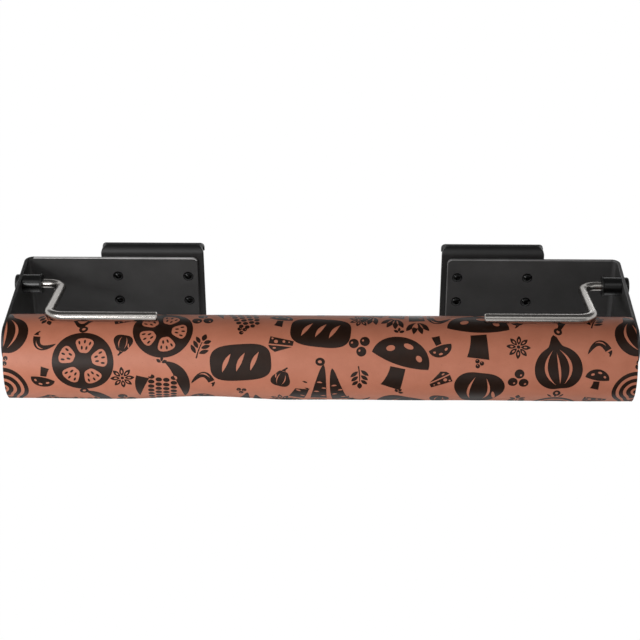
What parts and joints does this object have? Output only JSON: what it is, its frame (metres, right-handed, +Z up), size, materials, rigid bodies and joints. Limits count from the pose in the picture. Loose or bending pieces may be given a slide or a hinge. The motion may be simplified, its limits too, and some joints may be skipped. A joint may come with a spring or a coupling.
{
  "type": "butcher paper dispenser",
  "caption": "Rail-hung paper roll dispenser: mirrored black steel brackets carry a wide paper roll on pegs, and hinged bent steel rods rest on the roll to hold the sheet down.",
  "frame": {"origin": "midway between the two rail hooks, on the rail's front face and top edge", "axes": "+X to the right along the roll, -Y towards the user, +Z up"},
  "size_m": [0.4704, 0.146, 0.0723],
  "materials": {
    "paper": "uncoated peach paper with a bold black print",
    "card": "plain spiral-wound board",
    "powder_black": "fine satin black powder coat on sheet steel",
    "moulded_black": "plain moulded black nylon",
    "screw_black": "glossy black zinc",
    "bright_steel": "bright drawn stainless rod"
  },
  "bodies": {
    "left_side": {"left_bracket": "powder_black", "left_hook": "powder_black", "left_hook_screws": "screw_black", "left_boss": "powder_black", "left_bearing": "moulded_black", "left_peg": "moulded_black", "left_peg_screw": "screw_black"},
    "right_side": {"right_bracket": "powder_black", "right_hook": "powder_black", "right_hook_screws": "screw_black", "right_boss": "powder_black", "right_bearing": "moulded_black", "right_peg": "moulded_black", "right_peg_screw": "screw_black"},
    "roll": {"paper_roll": "paper", "roll_core": "card"},
    "left_arm": {"left_rod": "bright_steel", "left_cap": "moulded_black"},
    "right_arm": {"right_rod": "bright_steel", "right_cap": "moulded_black"}
  },
  "joints": [
    {"name": "right_side_slide", "type": "slide", "parent": "left_side", "child": "right_side", "axis": [1, 0, 0], "range_m": [0, 0.06]},
    {"name": "roll_spin", "type": "hinge", "parent": "left_side", "child": "roll", "pos_m": [0, -0.1045, -0.032], "axis": [1, 0, 0], "continuous": true},
    {"name": "left_arm_lift", "type": "hinge", "parent": "left_side", "child": "left_arm", "pos_m": [-0.2296, -0.0328, -0.012], "axis": [-1, 0, 0], "range_deg": [0, 140]},
    {"name": "right_arm_lift", "type": "hinge", "parent": "right_side", "child": "right_arm", "pos_m": [0.2296, -0.0328, -0.012], "axis": [-1, 0, 0], "range_deg": [0, 140]}
  ]
}
